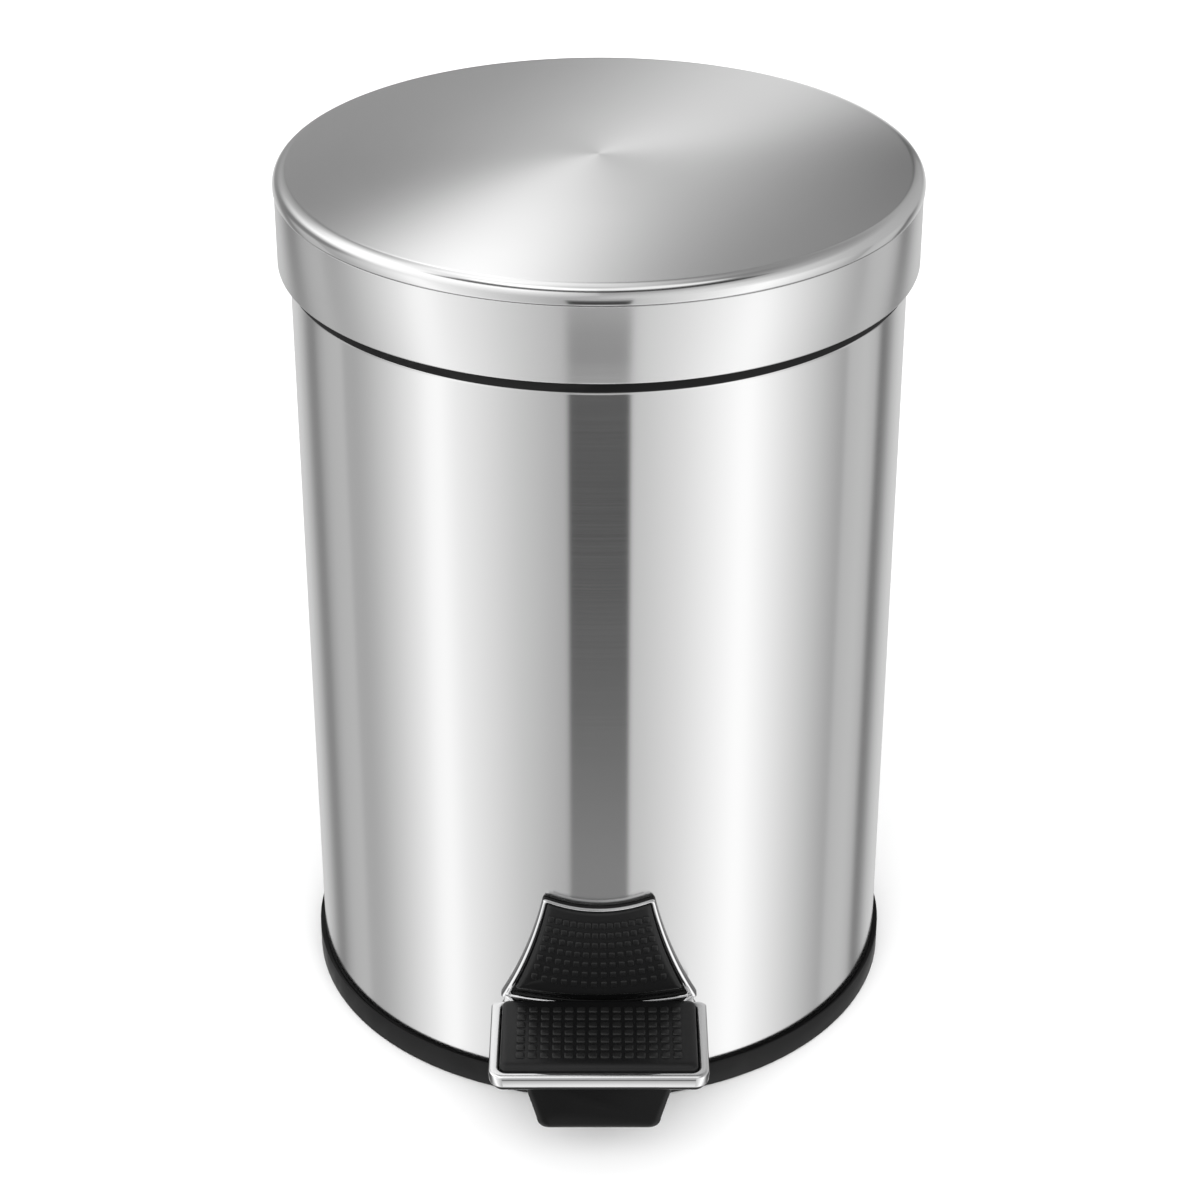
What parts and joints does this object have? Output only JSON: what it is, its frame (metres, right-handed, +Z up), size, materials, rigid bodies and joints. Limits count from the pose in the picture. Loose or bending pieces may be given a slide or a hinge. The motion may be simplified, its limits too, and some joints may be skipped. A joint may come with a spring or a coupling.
{
  "type": "pedal trash can",
  "caption": "Round step-on trash can: satin steel body and hinged lid, black base and collar, studded pedal with chrome trim, lifting rod and removable bucket with a wire handle.",
  "frame": {"origin": "centre of the body on the floor plane, under the anti-slip ring", "axes": "+Z up along the body's axis, -Y towards the pedal, +X to the right seen from the pedal side"},
  "size_m": [0.2606, 0.3203, 0.3747],
  "materials": {
    "brushed_body": "satin, fine brushing round the body",
    "brushed_lid": "satin, fine brushing",
    "black_plastic": "fine satin moulding texture",
    "bucket_plastic": "fine satin moulding texture",
    "pedal_rubber": "satin, slightly rounded studs",
    "foot_rubber": "matt",
    "chrome_trim": "polished",
    "pressed_steel": "zinc-plated pressing",
    "bright_steel": "bright drawn steel",
    "spring_clip": "blackened spring steel"
  },
  "bodies": {
    "can": {"body_shell": "brushed_body", "rim_collar": "black_plastic", "base_moulding": "black_plastic", "anti_slip_ring": "foot_rubber", "fulcrum_bracket": "pressed_steel", "fulcrum_pin": "bright_steel", "fulcrum_clip": "spring_clip", "bracket_screws": "bright_steel", "rod_guides": "black_plastic", "hinge_bracket": "pressed_steel", "hinge_cover": "black_plastic", "hinge_pin": "bright_steel", "hinge_pin_clip": "spring_clip", "hinge_rivets": "bright_steel"},
    "lid": {"lid_cap": "brushed_lid", "lid_band": "brushed_lid", "lid_liner": "black_plastic", "liner_rim": "black_plastic", "lid_bumpers": "foot_rubber", "hinge_leaf": "pressed_steel", "leaf_screws": "bright_steel"},
    "pedal": {"pedal_lever": "pressed_steel", "pedal_core": "black_plastic", "tread_frame": "chrome_trim", "riser_frame": "chrome_trim", "tread_pad": "pedal_rubber", "riser_pad": "pedal_rubber", "pedal_screws": "bright_steel"},
    "rod": {"lifting_rod": "bright_steel", "rod_clips": "spring_clip"},
    "bucket": {"inner_bucket": "bucket_plastic"},
    "bail": {"bail_wire": "bright_steel", "bail_grip": "black_plastic"}
  },
  "joints": [
    {"name": "lid_hinge", "type": "hinge", "parent": "can", "child": "lid", "pos_m": [0, 0.131, 0.322], "axis": [-1, 0, 0], "range_deg": [0, 80]},
    {"name": "pedal_pivot", "type": "hinge", "parent": "can", "child": "pedal", "pos_m": [0, -0.052, 0.02], "axis": [1, 0, 0], "range_deg": [0, 7.37]},
    {"name": "rod_slide", "type": "slide", "parent": "can", "child": "rod", "axis": [0, 0, 1], "range_m": [0, 0.02183]},
    {"name": "bucket_lift", "type": "slide", "parent": "can", "child": "bucket", "axis": [0, 0, 1], "range_m": [0, 0.0045]},
    {"name": "bail_swing", "type": "hinge", "parent": "bucket", "child": "bail", "pos_m": [0, -0.008, 0.3308], "axis": [-1, 0, 0], "range_deg": [0, 12]}
  ],
  "couplings": [
    {"joint": "pedal_pivot", "follows": "lid_hinge", "ratio": 0.091975},
    {"joint": "rod_slide", "follows": "lid_hinge", "m_per_rad": 0.015625}
  ]
}
